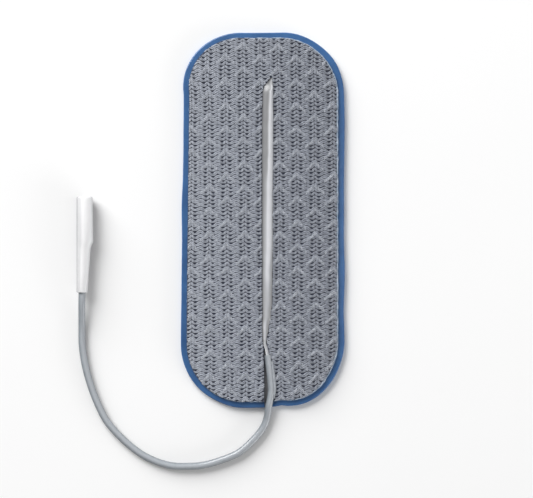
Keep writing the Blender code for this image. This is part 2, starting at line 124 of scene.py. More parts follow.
def paint(name, roughness, metallic=0.0):
    """A new material and its shader, ready for nodes."""
    material = bpy.data.materials.new(name)
    material.use_nodes = True
    shader = material.node_tree.nodes["Principled BSDF"]
    shader.inputs["Roughness"].default_value = roughness
    shader.inputs["Metallic"].default_value = metallic
    return material, shader


def grain(material, scale, detail=3.0, stretch=(1.0, 1.0, 1.0)):
    """Noise on Object coordinates; scale is in cells to the metre."""
    tree = material.node_tree
    where = tree.nodes.new("ShaderNodeTexCoord")
    fit = tree.nodes.new("ShaderNodeMapping")
    fit.inputs["Scale"].default_value = stretch
    texture = tree.nodes.new("ShaderNodeTexNoise")
    texture.inputs["Scale"].default_value = scale
    texture.inputs["Detail"].default_value = detail
    tree.links.new(where.outputs["Object"], fit.inputs["Vector"])
    tree.links.new(fit.outputs["Vector"], texture.inputs["Vector"])
    return texture.outputs["Fac"]


def leaning(material, factor, change):
    """The factor, changed by this much from one side of the pad to the other, as painted light and shade.
    """
    tree = material.node_tree
    where = tree.nodes.new("ShaderNodeTexCoord")
    split = tree.nodes.new("ShaderNodeSeparateXYZ")
    lean = tree.nodes.new("ShaderNodeMath")
    lean.operation = "MULTIPLY_ADD"
    lean.inputs[1].default_value = change / pad_size.x
    tree.links.new(where.outputs["Object"], split.inputs["Vector"])
    tree.links.new(split.outputs["X"], lean.inputs[0])
    tree.links.new(factor, lean.inputs[2])
    return lean.outputs["Value"]


def tint(material, factor, stops):
    """Colours the surface by a factor, from (position, colour) stops."""
    tree = material.node_tree
    ramp = tree.nodes.new("ShaderNodeValToRGB")
    while len(ramp.color_ramp.elements) < len(stops):
        ramp.color_ramp.elements.new(RAMP_MIDDLE)
    for element, (position, colour) in zip(ramp.color_ramp.elements, stops):
        element.position = position
        element.color = (*colour, 1.0)
    tree.links.new(factor, ramp.inputs["Fac"])
    shader = tree.nodes["Principled BSDF"]
    tree.links.new(ramp.outputs["Color"], shader.inputs["Base Color"])


def emboss(material, height, depth, strength=1.0):
    """Raises the surface by a height, at most this many metres."""
    tree = material.node_tree
    bump = tree.nodes.new("ShaderNodeBump")
    bump.inputs["Distance"].default_value = depth
    bump.inputs["Strength"].default_value = strength
    tree.links.new(height, bump.inputs["Height"])
    shader = tree.nodes["Principled BSDF"]
    tree.links.new(bump.outputs["Normal"], shader.inputs["Normal"])


def painted(material, attribute, cloud, amount):
    """A factor that follows a painted attribute, clouded by this much of a noise."""
    tree = material.node_tree
    painted_on = tree.nodes.new("ShaderNodeAttribute")
    painted_on.attribute_name = attribute
    clouded = tree.nodes.new("ShaderNodeMath")
    clouded.operation = "MULTIPLY_ADD"
    clouded.inputs[1].default_value = amount
    tree.links.new(cloud, clouded.inputs[0])
    tree.links.new(painted_on.outputs["Fac"], clouded.inputs[2])
    return clouded.outputs["Value"]


def scatter(shader, weight, reach, share=(1.0, 1.0, 1.0)):
    """Lets light travel this far, in metres, below the surface."""
    shader.inputs["Subsurface Weight"].default_value = weight
    shader.inputs["Subsurface Radius"].default_value = share
    shader.inputs["Subsurface Scale"].default_value = reach


def coat(shader, weight, roughness):
    """Lays a clear skin over the surface."""
    shader.inputs["Coat Weight"].default_value = weight
    shader.inputs["Coat Roughness"].default_value = roughness


print("helpers for finishes are ready")

# %% [markdown]
# The floor is a plain white sheet. The main light is a wide soft panel to the upper left, so shadows
# fall to the right and below and fade within a few millimetres. A low broad panel at the lower right
# keeps them from going black, and so does the room all round. A narrow strip on the right adds the
# thin bright line that runs along the glossy pieces.

# %% Floor and lights
FLOOR_SIZE = 8.0
FLOOR_DEPTH = 0.00002
KEY_PLACE = (-0.74, 1.0, 0.64)
KEY_SIZE = 1.0
KEY_POWER = 33.4
STRIP_PLACE = (0.34, 0.02, 0.46)
STRIP_WIDTH = 0.03
STRIP_LENGTH = 0.5
STRIP_POWER = 0.3
FILL_PLACE = (0.82, -0.58, 0.20)
FILL_WIDTH = 0.8
FILL_HEIGHT = 0.32
FILL_POWER = 5.0
ROOM_LIGHT = 0.25
PAPER_CELLS = 12.0


def area_light(name, place, width, length, power):
    """A panel of light that faces the pad."""
    data = bpy.data.lights.new(name, "AREA")
    data.shape = "RECTANGLE"
    data.size = width
    data.size_y = length
    data.energy = power
    light = bpy.data.objects.new(name, data)
    light.location = place
    light.rotation_euler = Vector(place).to_track_quat("Z", "Y").to_euler()
    bpy.context.scene.collection.objects.link(light)


bm = bmesh.new()
bmesh.ops.create_grid(bm, x_segments=1, y_segments=1, size=FLOOR_SIZE / 2)
bmesh.ops.translate(bm, vec=(0.0, 0.0, -FLOOR_DEPTH), verts=bm.verts)
floor_mesh = bpy.data.meshes.new("floor")
bm.to_mesh(floor_mesh)
bm.free()
floor = bpy.data.objects.new("floor", floor_mesh)
bpy.context.scene.collection.objects.link(floor)
white_paper, _ = paint("white paper", 0.9)
tint(white_paper, grain(white_paper, PAPER_CELLS), [(0.0, (0.90, 0.90, 0.90)), (1.0, (0.93, 0.93, 0.93))])
floor_mesh.materials.append(white_paper)

area_light("key", KEY_PLACE, KEY_SIZE, KEY_SIZE, KEY_POWER)
area_light("strip", STRIP_PLACE, STRIP_WIDTH, STRIP_LENGTH, STRIP_POWER)
area_light("fill", FILL_PLACE, FILL_WIDTH, FILL_HEIGHT, FILL_POWER)
room = bpy.data.worlds.new("room")
room.use_nodes = True
room.node_tree.nodes["Background"].inputs["Color"].default_value = (1.0, 1.0, 1.0, 1.0)
room.node_tree.nodes["Background"].inputs["Strength"].default_value = ROOM_LIGHT
bpy.context.scene.world = room
bpy.context.scene.view_settings.view_transform = "Standard"
print("floor, three panels and the room's light are set")

# %% [markdown]
# Lead, strands, yarns and cut edge are all paths with a round section. A path starts as a few stops
# and is made smooth by a centripetal Catmull-Rom curve, which passes through every stop without the
# kinks of straight runs and arcs. Even steps along it keep the faces alike, and a bevelled curve gives
# the section and the caps. It ends as a mesh, so that single points can be moved or painted.

# %% Helpers for paths
CURVE_STEPS = 16


def between(start, end, start_t, end_t, t):
    """The point at t on the line that is at start when t is start_t, and at end when it is end_t."""
    return start.lerp(end, (t - start_t) / (end_t - start_t))


def smooth_route(stops, count):
    """Evenly spaced points on a centripetal Catmull-Rom curve through the stops."""
    stops = [Vector(stop) for stop in stops]
    padded = [2 * stops[0] - stops[1], *stops, 2 * stops[-1] - stops[-2]]
    fine = []
    for a, b, c, d in zip(padded, padded[1:], padded[2:], padded[3:]):
        knots = [0.0]
        for start, end in ((a, b), (b, c), (c, d)):
            knots.append(knots[-1] + (end - start).length ** 0.5)
        for step in range(CURVE_STEPS):
            t = knots[1] + (knots[2] - knots[1]) * step / CURVE_STEPS
            near = between(a, b, knots[0], knots[1], t)
            middle = between(b, c, knots[1], knots[2], t)
            far = between(c, d, knots[2], knots[3], t)
            left = between(near, middle, knots[0], knots[2], t)
            right = between(middle, far, knots[1], knots[3], t)
            fine.append(between(left, right, knots[1], knots[2], t))
    fine.append(stops[-1])
    return evenly(fine, count)


def run_length(points):
    """Length of the path through the points."""
    return sum((end - start).length for start, end in zip(points, points[1:]))


def evenly(points, count):
    """The same path as count points with equal steps along it."""
    step = run_length(points) / (count - 1)
    result = [points[0]]
    wanted = step
    done = 0.0
    for start, end in zip(points, points[1:]):
        span = (end - start).length
        while len(result) < count - 1 and done + span >= wanted:
            result.append(start.lerp(end, (wanted - done) / span))
            wanted += step
        done += span
    result.append(points[-1])
    return result


def tube(name, runs, radius, sides=2, radii=None):
    """A curve object with a round section along each run of points."""
    curve = bpy.data.curves.new(name, "CURVE")
    curve.dimensions = "3D"
    curve.bevel_depth = radius
    curve.bevel_resolution = sides
    curve.use_fill_caps = True
    for index, run in enumerate(runs):
        spline = curve.splines.new("POLY")
        spline.points.add(len(run) - 1)
        for place, (target, point) in enumerate(zip(spline.points, run)):
            target.co = (*point, 1.0)
            target.radius = radii[index][place] if radii else 1.0
        spline.use_smooth = True
    obj = bpy.data.objects.new(name, curve)
    bpy.context.scene.collection.objects.link(obj)
    return obj


def as_mesh(obj):
    """Turns a curve object into a mesh object of the same name."""
    name = obj.name
    graph = bpy.context.evaluated_depsgraph_get()
    mesh = bpy.data.meshes.new_from_object(obj.evaluated_get(graph))
    bpy.data.objects.remove(obj, do_unlink=True)
    made = bpy.data.objects.new(name, mesh)
    mesh.name = name
    bpy.context.scene.collection.objects.link(made)
    return made


print("helpers for paths are ready")

# %% [markdown]
# The lead is one thin cord, shown from end to end: out of the slit, over the pad's near edge, down to the
# table and round in one open curve to the connector. Its stops are chosen along what the photo shows, on
# the pad at the height of the gel and beyond it on the ground. The last ones lie on the connector's own
# axis, so the lead runs into the crimp without a bend.

# %% The lead's route
LEAD_RADIUS = 0.00085
LEAD_SINK = 0.00035
LEAD_POINTS = 180
lead_height = gel_high.z + LEAD_SINK
LEAD_ON_PAD = [
    (0.00112, -0.03235), (0.00124, -0.03353), (0.00155, -0.03591), (0.00181, -0.03829),
    (0.00198, -0.04068), (0.00176, -0.04258), (0.00141, -0.04437),
]
LEAD_ON_GROUND = [
    (0.00074, -0.04819), (-0.00038, -0.05043), (-0.00291, -0.05334), (-0.00591, -0.05587),
    (-0.01001, -0.05761), (-0.01406, -0.05875), (-0.01788, -0.05906), (-0.02169, -0.05894),
    (-0.02514, -0.05804), (-0.02867, -0.05641), (-0.03196, -0.05401), (-0.03484, -0.05131),
    (-0.03754, -0.04805), (-0.03987, -0.04335), (-0.04147, -0.03897), (-0.04266, -0.03434),
    (-0.04328, -0.02977), (-0.04333, -0.02650),
]
MOUTH_RADIUS = 0.0019
TAIL_RADIUS = 0.0013
JACKET_END = 0.01595
PAST_TAIL = 0.002

connector_length = housing_high.y - housing_low.y
connector_height = (housing_low.z + housing_high.z) / 2
mouth_centre = Vector((housing_low.x + MOUTH_RADIUS, housing_high.y, connector_height))
tail_centre = Vector((housing_low.x + TAIL_RADIUS, housing_low.y, connector_height))


def on_axis(depth):
    """A point on the connector's bore axis, this far in from its mouth."""
    return mouth_centre.lerp(tail_centre, depth / connector_length)


on_pad = [Vector((x, y, lead_height)) for x, y in LEAD_ON_PAD]
on_ground = [Vector((x, y, LEAD_RADIUS)) for x, y in LEAD_ON_GROUND]
into_tail = [on_axis(connector_length + PAST_TAIL), on_axis(connector_length), on_axis(JACKET_END)]
lead_path = smooth_route(on_pad + on_ground + into_tail, LEAD_POINTS)
for point in lead_path:
    point.z = max(point.z, LEAD_RADIUS)
lead = as_mesh(tube("lead", [lead_path], LEAD_RADIUS, sides=6))


def lead_at(y):
    """The point of the lead that lies at this y on the pad."""
    return min(lead_path, key=lambda point: abs(point.y - y) + abs(point.x) / 2)


# %% [markdown]
# The lead's insulation is clear grey plastic. Light passes through its skin and comes out again from the
# pale strands in the middle, so it looks brightest along one line. That line is also a painted highlight:
# each vertex is painted with how squarely it faces up and a little to the right, the colour follows that,
# and the side facing away is painted in shade. Subsurface scattering with a short reach gives the
# softness, and a clear coat gives the glint.

# %% Finish of the lead
HIGHLIGHT_AIM = Vector((0.40, 0.0, 0.92))
HIGHLIGHT_POWER = 1.7
HIGHLIGHT_CLOUD = 0.3

finder = KDTree(len(lead_path))
for index, point in enumerate(lead_path):
    finder.insert(point, index)
finder.balance()
# The core attribute is a painted highlight, brightest where a vertex faces up and to the right, and
# painted shade on the far side.
core = lead.data.attributes.new("core", "FLOAT", "POINT")
for vert in lead.data.vertices:
    nearest, _, _ = finder.find(vert.co)
    facing = (vert.co - nearest).normalized().dot(HIGHLIGHT_AIM)
    core.data[vert.index].value = max(0.0, facing) ** HIGHLIGHT_POWER

clear_grey_with_highlight, shader = paint("clear grey insulation with painted highlight", 0.28)
# The pale stop is the painted highlight and the dark stop the painted shade on the lower left.
tint(
    clear_grey_with_highlight, painted(clear_grey_with_highlight, "core", grain(clear_grey_with_highlight, 900.0), HIGHLIGHT_CLOUD),
    [(0.1, (0.14, 0.155, 0.17)), (0.6, (0.26, 0.285, 0.31)), (1.0, (0.41, 0.435, 0.465))],
)
emboss(clear_grey_with_highlight, grain(clear_grey_with_highlight, 2600.0), 0.00002, 0.5)
scatter(shader, 0.35, 0.0004)
coat(shader, 0.3, 0.2)
lead.data.materials.append(clear_grey_with_highlight)
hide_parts("lead_wire")
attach(lead, BODY)
print("the lead has its finish")

# %% [markdown]
# Solid pieces are modelled in a bmesh. One helper turns it into an object, smooth except at its sharp
# edges, and another carves a cutter out of it with an exact Boolean and keeps the result as its mesh.

# %% Helpers for solids
SHARP_ANGLE = 35.0


def link_mesh(name, bm, material, smooth_angle=SHARP_ANGLE):
    """Makes the bmesh an object at the origin, shaded smooth except at sharp edges."""
    mesh = bpy.data.meshes.new(name)
    bm.to_mesh(mesh)
    bm.free()
    mesh.shade_smooth()
    mesh.set_sharp_from_angle(angle=math.radians(smooth_angle))
    obj = bpy.data.objects.new(name, mesh)
    bpy.context.scene.collection.objects.link(obj)
    if material:
        mesh.materials.append(material)
    return obj


def carve(obj, cutter):
    """Takes the cutter out of the object for good and removes the cutter."""
    boolean = obj.modifiers.new("carve", "BOOLEAN")
    boolean.operation = "DIFFERENCE"
    boolean.solver = "EXACT"
    boolean.object = cutter
    settle_modifiers(obj)
    bpy.data.objects.remove(cutter, do_unlink=True)


def settle_modifiers(obj):
    """Replaces the object's mesh by what its modifiers make."""
    graph = bpy.context.evaluated_depsgraph_get()
    made = bpy.data.meshes.new_from_object(obj.evaluated_get(graph))
    made.name = obj.name
    obj.modifiers.clear()
    obj.data = made


print("helpers for solids are ready")

# %% [markdown]
# The connector is moulded in one white piece. Its sections are round but not centred: they all touch
# one straight side, and the other side steps in at the shoulder and tapers to the tail. Spinning can't
# make that, so rings of the right radius are set along the piece and bridged, and both ends are
# rounded by a bevel.

# %% Connector's outside
RING_SIDES = 64
GRIP_LENGTH = 0.0107
GRIP_FLARE = 0.00008
SHOULDER_LENGTH = 0.0018
NECK_EXTRA = 0.00037
MOUTH_ROUND = 0.00042
TAIL_ROUND = 0.0002
ROUND_SEGMENTS = 5

neck = TAIL_RADIUS + NECK_EXTRA
shoulder_end = GRIP_LENGTH + SHOULDER_LENGTH
stations = [
    (0.0, MOUTH_RADIUS),
    (GRIP_LENGTH / 2, MOUTH_RADIUS + GRIP_FLARE / 2),
    (GRIP_LENGTH, MOUTH_RADIUS + GRIP_FLARE),
    (GRIP_LENGTH + SHOULDER_LENGTH / 2, (MOUTH_RADIUS + neck) / 2),
    (shoulder_end, neck),
    ((shoulder_end + connector_length) / 2, (neck + TAIL_RADIUS) / 2),
    (connector_length, TAIL_RADIUS),
]
bm = bmesh.new()
rings = []
for depth, radius in stations:
    centre = Vector((housing_low.x + radius, housing_high.y - depth, connector_height))
    turn = Matrix.Translation(centre) @ Matrix.Rotation(math.pi / 2, 4, "X")
    ring = bmesh.ops.create_circle(bm, segments=RING_SIDES, radius=radius, matrix=turn)["verts"]
    rings.append([edge for edge in bm.edges if set(edge.verts) <= set(ring)])
for here, following in zip(rings, rings[1:]):
    bmesh.ops.bridge_loops(bm, edges=here + following)
for loop, rounding in ((rings[0], MOUTH_ROUND), (rings[-1], TAIL_ROUND)):
    bmesh.ops.contextual_create(bm, geom=loop)
    bmesh.ops.bevel(
        bm, geom=loop, offset=rounding, offset_type="OFFSET", segments=ROUND_SEGMENTS, profile=0.5,
        affect="EDGES", material=-1,
    )
bmesh.ops.recalc_face_normals(bm, faces=bm.faces[:])
housing = link_mesh("connector_shell", bm, None)
print(f"connector's outside: {len(housing.data.polygons)} faces")

# %% [markdown]
# The stepped bore takes the pin, the socket, the crimp and the lead. It is turned work, so its outline
# is spun all the way round into a core, which is laid on the connector's slanting axis and carved away.

# %% Connector's bore
BORE_STEPS = [
    (0.00115, -0.002), (0.00115, 0.001), (0.00135, 0.001), (0.00135, 0.0108), (0.0009, 0.0115),
    (0.0009, 0.0148), (0.001, 0.0148), (0.001, 0.0249),
]
WELD = 1e-6

bore = bmesh.new()
profile = [bore.verts.new((0.0, -BORE_STEPS[0][1], 0.0))]
profile += [bore.verts.new((radius, -depth, 0.0)) for radius, depth in BORE_STEPS]
profile.append(bore.verts.new((0.0, -BORE_STEPS[-1][1], 0.0)))
outline = [bore.edges.new(pair) for pair in zip(profile, profile[1:])]
bmesh.ops.spin(
    bore, geom=profile + outline, cent=(0.0, 0.0, 0.0), axis=(0.0, 1.0, 0.0), angle=math.tau,
    steps=RING_SIDES // 2, use_merge=True,
)
bmesh.ops.remove_doubles(bore, verts=bore.verts[:], dist=WELD)
axis = tail_centre - mouth_centre
stand = Matrix.Translation(mouth_centre) @ Matrix.Rotation(math.atan2(axis.x, -axis.y), 4, "Z")
bmesh.ops.transform(bore, matrix=stand, verts=bore.verts)
bmesh.ops.recalc_face_normals(bore, faces=bore.faces[:])
carve(housing, link_mesh("bore core", bore, None))
housing.data.shade_smooth()
housing.data.set_sharp_from_angle(angle=math.radians(SHARP_ANGLE))
print(f"bored connector: {len(housing.data.polygons)} faces")

# %% [markdown]
# Under the wide light a round white piece would burn out on one side and melt into the floor, though it
# should look evenly white with dark edges. So shade is painted on its flanks and ends: each vertex keeps
# how far it faces up, and a little to the right, and the white turns to a painted grey shade where it
# faces the other way.

# %% Finish of the connector
SHADE_LEAN = 0.42
WHITE_MOTTLE = 0.06

# The upper attribute paints shade: low where a vertex faces down, to the left or along the piece.
painted_flank_shade = housing.data.attributes.new("upper", "FLOAT", "POINT")
for vert in housing.data.vertices:
    share = vert.normal.z + SHADE_LEAN * vert.normal.x
    painted_flank_shade.data[vert.index].value = max(0.0, min(1.0, share))
white_plastic_with_shade, shader = paint("white moulded plastic", 0.34)
# The grey stops are painted shade; only the top stop is the plastic's own white.
tint(
    white_plastic_with_shade, painted(white_plastic_with_shade, "upper", grain(white_plastic_with_shade, 300.0), WHITE_MOTTLE),
    [
        (0.02, (0.20, 0.20, 0.22)),
        (0.34, (0.54, 0.54, 0.55)),
        (0.76, (0.66, 0.66, 0.67)),
        (0.99, (0.95, 0.95, 0.96)),
    ],
)
emboss(white_plastic_with_shade, grain(white_plastic_with_shade, 5200.0, 2.0), 0.00003, 0.35)
scatter(shader, 0.3, 0.0012)
housing.data.materials.append(white_plastic_with_shade)
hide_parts("connector_housing")
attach(housing, BODY)
print("the connector has its finish")

# %% [markdown]
# The socket and the crimped strands sit inside the housing and show only at its mouth. Their solids
# are right as they are, so they stay and only get a finish: brushed nickel along the sleeve, and fine
# tinned wire.

# %% Metal inside the connector
nickel, _ = paint("nickel plate", 0.26, 1.0)
brushed = grain(nickel, 3000.0, 3.0, (1.0, 0.05, 1.0))
tint(nickel, brushed, [(0.3, (0.58, 0.56, 0.52)), (0.7, (0.76, 0.74, 0.70))])
emboss(nickel, brushed, 0.00001, 0.4)
tinned, _ = paint("tinned strands", 0.36, 0.7)
tint(tinned, grain(tinned, 4000.0), [(0.3, (0.55, 0.56, 0.58)), (0.7, (0.72, 0.73, 0.75))])
for name, finish, slot in (
    ("socket_contact", nickel, "contact"), ("crimped_strands", tinned, "strands"),
):
    inner = nodes[name]
    inner.data.materials.clear()
    inner.data.materials.append(finish)
print("the socket and the crimped strands are finished")

# %% [markdown]
# Gel and cloth are die-cut from soft sheets, so both are rectangles with round corners, but never
# quite true: the left side leans, part of the near end is drawn in, and the corners are unlike. One
# function says how far each point is stretched. The gel, the cloth and every yarn go through it, so
# they stay together.

# %% Rounded pads
EDGE_CUTS = 40
CORNER_SEGMENTS = 18
LEFT_OUT = -0.00036
RIGHT_OUT = 0.00040
LEAN = 0.0141
LEAN_END = -0.022
FAR_OUT = 0.00026
NEAR_OUT = -0.00062
NEAR_EASE = (0.0045, 0.0035)
FULL_CORNERS = {
    (False, True): (0.00100, 0.00045),
    (True, False): (-0.00035, 0.00105),
    (False, False): (0.00005, 0.00022),
}
SIDE_POWER = 3
END_POWER = 8
CLOTH_LEFT_IN = 0.00026


def outward(point, size, corner):
    """Direction out of a rounded rectangle, and how far past its outline the point lies."""
    core_x = size.x / 2 - corner
    core_y = size.y / 2 - corner
    nearest = Vector((max(-core_x, min(core_x, point.x)), max(-core_y, min(core_y, point.y)), 0.0))
    away = Vector((point.x, point.y, 0.0)) - nearest
    return (away.normalized() if away.length else away), away.length - corner


def out_of_true(point):
    """How far the soft pad is stretched here."""
    across = min(1.0, abs(point.x) / (pad_size.x / 2)) ** SIDE_POWER
    along = min(1.0, abs(point.y) / (pad_size.y / 2)) ** END_POWER
    side = RIGHT_OUT if point.x > 0.0 else LEFT_OUT + LEAN * max(point.y, LEAN_END)
    ease_end, ease_run = NEAR_EASE
    near = NEAR_OUT * min(1.0, max(0.0, (ease_end - point.x) / ease_run))
    away, past = outward(point, pad_size, PAD_CORNER)
    in_corner = 2.0 * abs(away.x * away.y) * min(1.0, 1.0 + past / PAD_CORNER)
    at_side, at_end = FULL_CORNERS.get((point.x > 0.0, point.y > 0.0), (0.0, 0.0))
    push = away * (at_side * away.x ** 2 + at_end * away.y ** 2) * in_corner
    return Vector((side * across, (FAR_OUT if point.y > 0.0 else near) * along, 0.0)) + push


def stretch(obj):
    """Moves the cloth's points as the whole pad is out of true, and draws its left side in."""
    for vert in obj.data.vertices:
        across = max(0.0, -vert.co.x / (pad_size.x / 2)) ** SIDE_POWER
        vert.co += out_of_true(vert.co)
        vert.co.x += CLOTH_LEFT_IN * across


def rounded_sheet(size, corner, middle):
    """A bmesh with one flat face: a rectangle with round corners and finely cut sides."""
    sheet = bmesh.new()
    bmesh.ops.create_grid(sheet, x_segments=1, y_segments=1, size=0.5)
    bmesh.ops.scale(sheet, vec=(size.x, size.y, 1.0), verts=sheet.verts)
    bmesh.ops.bevel(
        sheet, geom=sheet.verts[:], offset=corner, offset_type="OFFSET", segments=CORNER_SEGMENTS,
        profile=0.5, affect="VERTICES", material=-1,
    )
    straight = [edge for edge in sheet.edges if edge.calc_length() > corner / 2]
    bmesh.ops.subdivide_edges(sheet, edges=straight, cuts=EDGE_CUTS)
    bmesh.ops.translate(sheet, vec=middle, verts=sheet.verts)
    return sheet


def raise_sheet(sheet, thickness):
    """Extrudes the flat face upwards into a closed slab and gives back its top verts."""
    raised = bmesh.ops.extrude_face_region(sheet, geom=sheet.faces[:])["geom"]
    top = [item for item in raised if isinstance(item, bmesh.types.BMVert)]
    bmesh.ops.translate(sheet, vec=(0.0, 0.0, thickness), verts=top)
    bmesh.ops.recalc_face_normals(sheet, faces=sheet.faces[:])
    return top


print(f"the pad's corners have a radius of {PAD_CORNER * TO_MM:.1f} mm")

# %% [markdown]
# The gel is cast soft, so its rim also moves in and out a little by a smooth noise before the flat
# sheet is raised into a slab. A bevel rounds the rim, and the lead's groove is carved out of the top.
# The blue is painted a little darker to the left as painted shade, so its factor leans, and light travels
# below the surface.

# %% Gel
GEL_WAVE = 0.00022
GEL_WAVE_SCALE = 110.0
GEL_EDGE_ROUND = 0.00032
GEL_EDGE_SEGMENTS = 4
GEL_SHADE_LEAN = 0.13
GEL_SEED = Vector((3.7, 1.9, 0.0))
GROOVE_CLEARANCE = 0.00006
GROOVE_START = 0.0001
GROOVE_LEFT = -0.004

bm = rounded_sheet(pad_size, PAD_CORNER, Vector((0.0, 0.0, 0.0)))
for vert in bm.verts:
    away, _ = outward(vert.co, pad_size, PAD_CORNER)
    vert.co += away * GEL_WAVE * noise.noise(vert.co * GEL_WAVE_SCALE + GEL_SEED)
    vert.co += out_of_true(vert.co)
top = raise_sheet(bm, pad_size.z)
rim = [edge for edge in bm.edges if set(edge.verts) <= set(top)]
bmesh.ops.bevel(
    bm, geom=rim, offset=GEL_EDGE_ROUND, offset_type="OFFSET", segments=GEL_EDGE_SEGMENTS,
    profile=0.5, affect="EDGES", material=-1,
)
blue_gel_with_shade, shader = paint("blue hydrogel with painted shade", 0.3)
# Painted shade: the blue darkens towards the left side of the pad.
blue_with_painted_shade = leaning(blue_gel_with_shade, grain(blue_gel_with_shade, 160.0), GEL_SHADE_LEAN)
tint(blue_gel_with_shade, blue_with_painted_shade, [(0.1, (0.026, 0.079, 0.205)), (0.9, (0.060, 0.168, 0.378))])
emboss(blue_gel_with_shade, grain(blue_gel_with_shade, 700.0, 2.0), 0.00012, 0.5)
scatter(shader, 0.25, 0.0008, (0.5, 0.7, 1.0))
gel = link_mesh("gel", bm, blue_gel_with_shade)
groove_top = lead_path[0].y + GROOVE_START
groove = [point for point in lead_path if point.y < groove_top and point.x > GROOVE_LEFT]
carve(gel, as_mesh(tube("groove", [groove], LEAD_RADIUS + GROOVE_CLEARANCE, sides=4)))
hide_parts("gel_layer")
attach(gel, BODY)
print(f"gel: {len(gel.data.polygons)} faces")

# %% [markdown]
# The pale strip is what closes the slit over the bare conductor: a cast bead, half round, with a crest
# that wanders from its right side at the far end to its middle near the lead. A table of stations says
# where it lies, how wide and high it is, and how pale, and every y between two of them is eased.

# %% The strip's stations
STRIP_STATIONS = [
    (0.03380, 0.00200, 0.00020, 0.00, 0.30, 0.00014, 0.35),
    (0.03300, 0.00178, 0.00050, 0.10, 0.40, 0.00024, 0.50),
    (0.03230, 0.00156, 0.00082, 0.30, 0.50, 0.00024, 0.30),
    (0.03190, 0.00142, 0.00102, 0.62, 0.66, 0.00022, 0.40),
    (0.03140, 0.00132, 0.00114, 0.78, 0.92, 0.00026, 1.00),
    (0.03040, 0.00118, 0.00126, 0.50, 1.00, 0.00028, 1.00),
    (0.02250, 0.00114, 0.00134, 0.36, 1.00, 0.00030, 1.00),
    (0.01300, 0.00112, 0.00132, 0.32, 1.00, 0.00034, 1.00),
    (0.00750, 0.00110, 0.00130, 0.20, 1.00, 0.00054, 0.92),
    (-0.00600, 0.00110, 0.00130, 0.20, 1.00, 0.00068, 0.90),
    (-0.01200, 0.00106, 0.00124, 0.02, 1.00, 0.00056, 0.78),
    (-0.01900, 0.00102, 0.00118, 0.08, 0.95, 0.00044, 0.48),
    (-0.02300, 0.00089, 0.00101, 0.05, 0.90, 0.00040, 0.38),
    (-0.02600, 0.00056, 0.00074, -0.30, 0.80, 0.00036, 0.75),
    (-0.02860, 0.00036, 0.00050, 0.00, 0.62, 0.00030, 0.80),
    (-0.02960, 0.00040, 0.00038, 0.00, 0.45, 0.00025, 0.70),
]


def at_station(y):
    """(centre x, half width, crest shift, height share, pale half width, paleness) at this y."""
    for (y_a, *a), (y_b, *b) in zip(STRIP_STATIONS, STRIP_STATIONS[1:]):
        if y >= y_b:
            share = max(0.0, min(1.0, (y_a - y) / (y_a - y_b)))
            ease = share * share * (3.0 - 2.0 * share)
            return [u + (v - u) * ease for u, v in zip(a, b)]
    return list(STRIP_STATIONS[-1][1:])


print(f"the strip is laid out by {len(STRIP_STATIONS)} stations")

# %% [markdown]
# One open profile, foot to crest to foot, is extruded step by step along the slit, as the bead is drawn
# along it. Its left foot hides under the cloth and its right one laps on it. Each vertex keeps a paleness
# for the colour: pale on top, where the conductor shows through, lighter down the right slope as a
# painted highlight, darker down the left slope as painted shade, and darkest at both feet, as painted
# shade where the bead meets the cloth.

# %% Sealing bead
BEAD_STEPS = 150
BEAD_SIDE_POINTS = 8
BEAD_SINK = 0.0002
BEAD_LUMP = 0.00007
BEAD_LUMP_SCALE = 420.0
BEAD_ROUND = 0.8
BEAD_SHARP_ANGLE = 60.0
BEAD_CLOUD = 0.2
PALE_FALL = 4
SHADED_LEFT_FLANK = 0.14
SHADED_LEFT_FLANK_NEAR = 0.36
LIT_RIGHT_FLANK = 0.96
LIT_RIGHT_FLANK_NEAR = 0.34
FLANK_CHANGE = (0.014, -0.020)
LEFT_FOOT_SHADE = 0.00055
RIGHT_FOOT_SHADE = 0.0002
FAR_FADE = (0.0313, 0.0325)
FAR_SHARE = 0.25
LIP_OVERHANG = 0.0001
LIP_DROP = 0.00018
LEFT_LIP = 0.00062

bead_foot = cloth_low.z - BEAD_SINK
bead_rise = bead_high.z - bead_foot
bead_lip = cloth_high.z - LIP_DROP
bead_start = STRIP_STATIONS[0][0]
bead_end = STRIP_STATIONS[-1][0]


def bead_profile(y):
    """(x, z, paleness with painted light and shade) from the left foot over the crest to the lip that
    laps on the cloth.
    """
    centre, half, shift, height, pale_half, paleness = at_station(y)
    crest = centre + shift * half
    top = bead_foot + bead_rise * height
    far, near = FLANK_CHANGE
    nearer = max(0.0, min(1.0, (far - y) / (far - near)))
    shaded_left_flank = SHADED_LEFT_FLANK + (SHADED_LEFT_FLANK_NEAR - SHADED_LEFT_FLANK) * nearer
    lit_right_flank = LIT_RIGHT_FLANK + (LIT_RIGHT_FLANK_NEAR - LIT_RIGHT_FLANK) * nearer
    fade = max(0.0, min(1.0, (y - FAR_FADE[0]) / (FAR_FADE[1] - FAR_FADE[0])))
    lit_right_flank += (FAR_SHARE - lit_right_flank) * fade
    points = [(centre - half - LIP_OVERHANG, bead_foot, 0.0)]
    for index in range(2 * BEAD_SIDE_POINTS + 1):
        share = index / BEAD_SIDE_POINTS - 1.0
        foot = centre - half if share < 0.0 else centre + half
        low = bead_foot + LEFT_LIP if share < 0.0 else bead_lip
        plain = shaded_left_flank if share < 0.0 else lit_right_flank
        x = crest + (foot - crest) * abs(share)
        z = low + (top - low) * math.cos(abs(share) * math.pi / 2) ** BEAD_ROUND
        pale = paleness / (1.0 + ((x - crest) / pale_half) ** PALE_FALL)
        foot_shade_fade = min(1.0, abs(foot - x) / (LEFT_FOOT_SHADE if share < 0.0 else RIGHT_FOOT_SHADE))
        points.append((x, z, foot_shade_fade * (plain + (1.0 - plain) * pale)))
    points.append((centre + half + LIP_OVERHANG, bead_foot, 0.0))
    return points


bm = bmesh.new()
